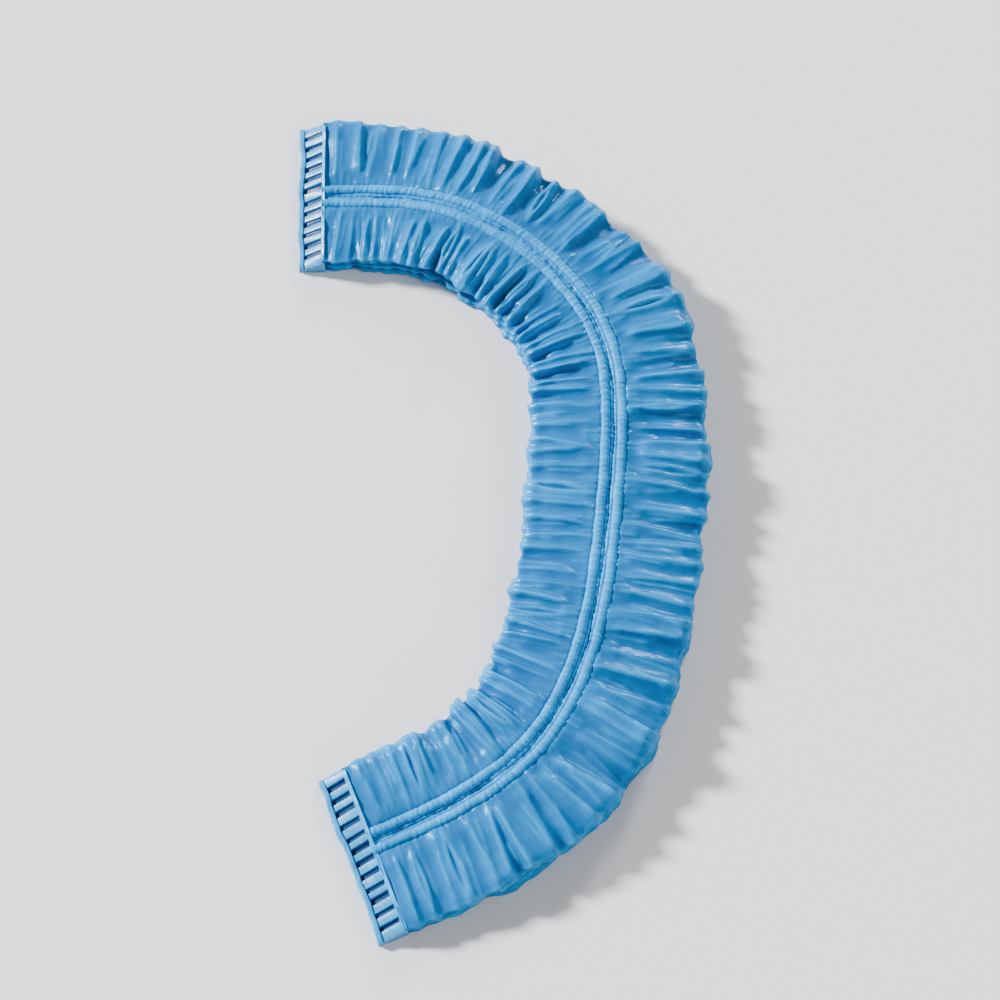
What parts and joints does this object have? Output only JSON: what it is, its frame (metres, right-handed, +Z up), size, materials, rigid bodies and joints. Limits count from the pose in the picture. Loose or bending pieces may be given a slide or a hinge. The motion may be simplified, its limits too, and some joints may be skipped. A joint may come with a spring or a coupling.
{
  "type": "folded disposable shower cap",
  "caption": "Thin blue film shower cap in its folded strip form, with fluted edges, two elastic hems along the middle and a comb-pressed heat seal at each end, lying bent.",
  "frame": {"origin": "middle of the footprint, on the surface that the strip lies on", "axes": "+Z up from the surface, +Y along the long side of the bent strip, +X towards the outside of the bend"},
  "size_m": [0.0824, 0.17, 0.0092],
  "materials": {
    "film": "glossy translucent film",
    "elastic_hem": "satin, finely gathered",
    "end_seal": "pressed and welded"
  },
  "bodies": {
    "root": {"cap_film": "film", "elastic_hem_outer": "elastic_hem", "elastic_hem_inner": "elastic_hem", "end_seal_back": "end_seal", "end_seal_front": "end_seal"}
  },
  "joints": []
}
